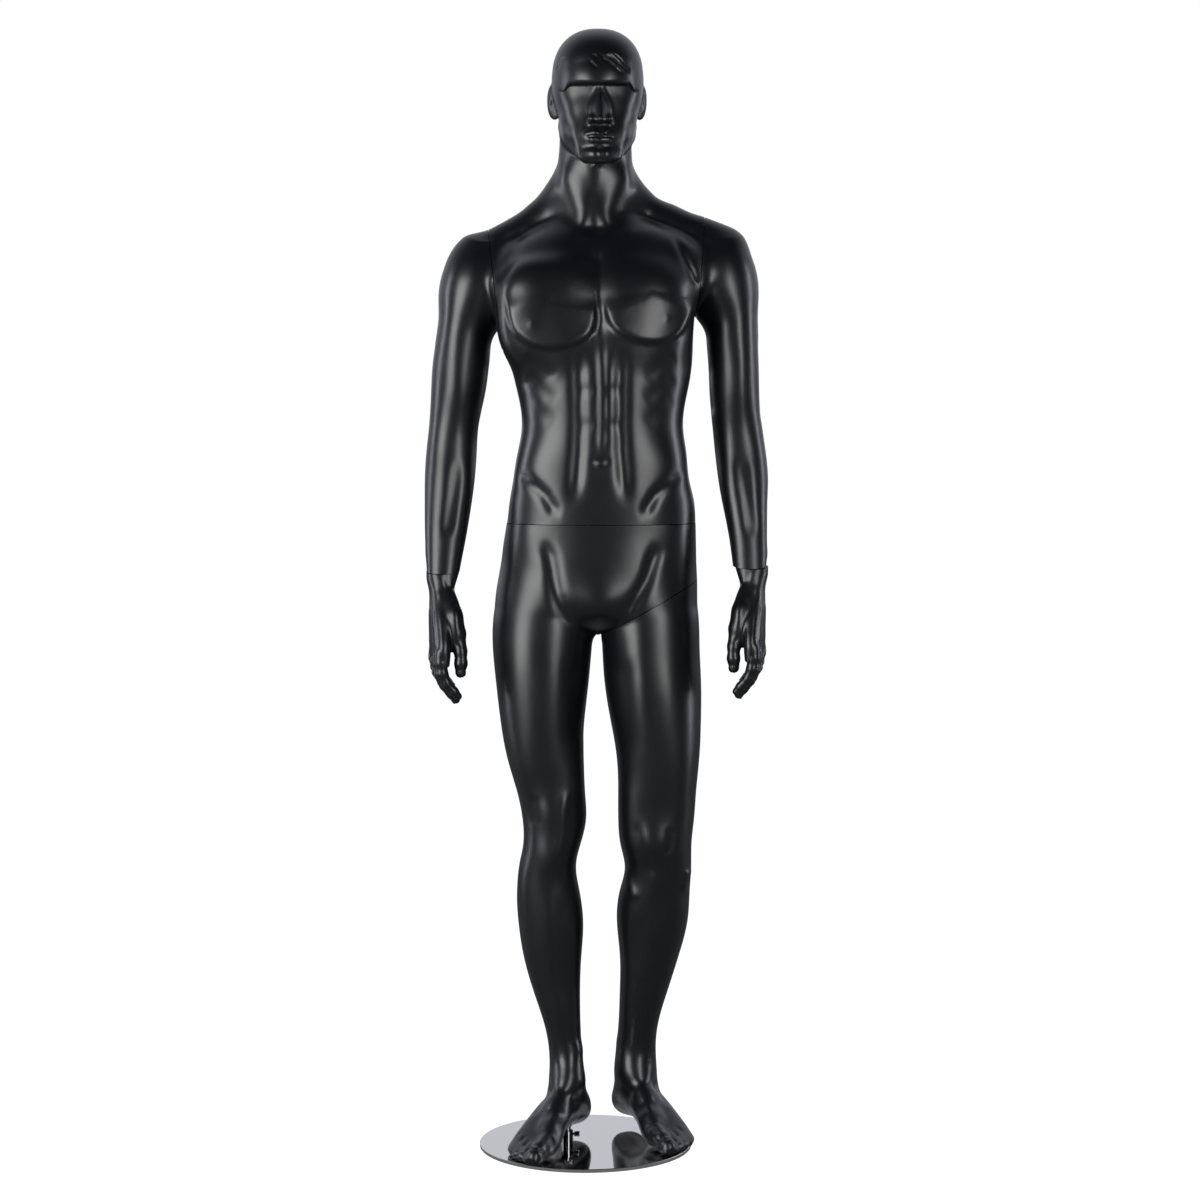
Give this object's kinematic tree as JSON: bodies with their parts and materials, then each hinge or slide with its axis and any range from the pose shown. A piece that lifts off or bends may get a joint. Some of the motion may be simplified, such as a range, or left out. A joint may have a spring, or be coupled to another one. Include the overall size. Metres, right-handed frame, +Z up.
{
  "type": "full body mannequin",
  "caption": "Full-height male display mannequin in satin-gloss black, with detachable arms, hands, upper body and leg, on a round polished steel plate with a foot rod.",
  "frame": {"origin": "centre of the round base plate's underside", "axes": "+Z up, the figure faces -Y and its left side is towards +X"},
  "size_m": [0.5612, 0.35, 1.828],
  "materials": {
    "black_shell": "satin-gloss black lacquer on glass-fibre",
    "polished_plate": "mirror-polished steel",
    "chrome_fittings": "bright chrome plate",
    "zinc_steel": "zinc-plated pressed steel",
    "screw_steel": "bright steel",
    "end_board": "painted plywood"
  },
  "bodies": {
    "base": {"base_plate": "polished_plate", "rod_collar": "chrome_fittings", "foot_rod": "chrome_fittings", "collar_screw": "chrome_fittings"},
    "wing_screw_body": {"wing_screw": "chrome_fittings"},
    "lower_body": {"lower_body_shell": "black_shell", "rod_socket": "zinc_steel", "lower_waist_lock_stud": "zinc_steel", "lower_waist_stud_board": "end_board", "lower_waist_stud_screws": "screw_steel", "left_hip_lock_plate": "zinc_steel", "left_hip_end_board": "end_board", "left_hip_plate_screws": "screw_steel"},
    "left_leg": {"left_leg_shell": "black_shell", "left_thigh_lock_stud": "zinc_steel", "left_thigh_stud_board": "end_board", "left_thigh_stud_screws": "screw_steel"},
    "upper_body": {"upper_body_shell": "black_shell", "upper_waist_lock_plate": "zinc_steel", "upper_waist_end_board": "end_board", "upper_waist_plate_screws": "screw_steel", "right_shoulder_lock_plate": "zinc_steel", "right_shoulder_end_board": "end_board", "right_shoulder_plate_screws": "screw_steel", "left_shoulder_lock_plate": "zinc_steel", "left_shoulder_end_board": "end_board", "left_shoulder_plate_screws": "screw_steel"},
    "right_arm": {"right_arm_shell": "black_shell", "right_arm_top_lock_stud": "zinc_steel", "right_arm_top_stud_board": "end_board", "right_arm_top_stud_screws": "screw_steel", "right_wrist_lock_plate": "zinc_steel", "right_wrist_end_board": "end_board", "right_wrist_plate_screws": "screw_steel"},
    "left_arm": {"left_arm_shell": "black_shell", "left_arm_top_lock_stud": "zinc_steel", "left_arm_top_stud_board": "end_board", "left_arm_top_stud_screws": "screw_steel", "left_wrist_lock_plate": "zinc_steel", "left_wrist_end_board": "end_board", "left_wrist_plate_screws": "screw_steel"},
    "right_hand_body": {"right_hand": "black_shell", "right_hand_lock_stud": "zinc_steel", "right_hand_stud_board": "end_board", "right_hand_stud_screws": "screw_steel"},
    "left_hand_body": {"left_hand": "black_shell", "left_hand_lock_stud": "zinc_steel", "left_hand_stud_board": "end_board", "left_hand_stud_screws": "screw_steel"}
  },
  "joints": [
    {"name": "lift_off", "type": "slide", "parent": "base", "child": "lower_body", "axis": [0, 0, 1], "range_m": [0, 0.08]},
    {"name": "wing_screw_turn", "type": "hinge", "parent": "base", "child": "wing_screw_body", "pos_m": [-0.03, -0.015, 0.022], "axis": [1, 0, 0], "continuous": true},
    {"name": "left_leg_turn", "type": "hinge", "parent": "lower_body", "child": "left_leg", "pos_m": [0.108, 0.02, 0.897], "axis": [-0.486, 0, 0.874], "range_deg": [0, 30]},
    {"name": "waist_twist", "type": "hinge", "parent": "lower_body", "child": "upper_body", "pos_m": [0.025, 0.014, 1.032], "axis": [0, 0, 1], "range_deg": [0, 90]},
    {"name": "right_shoulder_turn", "type": "hinge", "parent": "upper_body", "child": "right_arm", "pos_m": [-0.148, 0.042, 1.428], "axis": [-0.9917, 0, -0.1289], "range_deg": [0, 90]},
    {"name": "left_shoulder_turn", "type": "hinge", "parent": "upper_body", "child": "left_arm", "pos_m": [0.187, 0.042, 1.432], "axis": [-0.9968, 0, 0.0797], "range_deg": [0, 90]},
    {"name": "right_wrist_turn", "type": "hinge", "parent": "right_arm", "child": "right_hand_body", "pos_m": [-0.233, -0.004, 0.954], "axis": [0, 0.1961, -0.9806], "range_deg": [0, 90]},
    {"name": "left_wrist_turn", "type": "hinge", "parent": "left_arm", "child": "left_hand_body", "pos_m": [0.272, -0.004, 0.962], "axis": [0, -0.1961, 0.9806], "range_deg": [0, 90]}
  ]
}
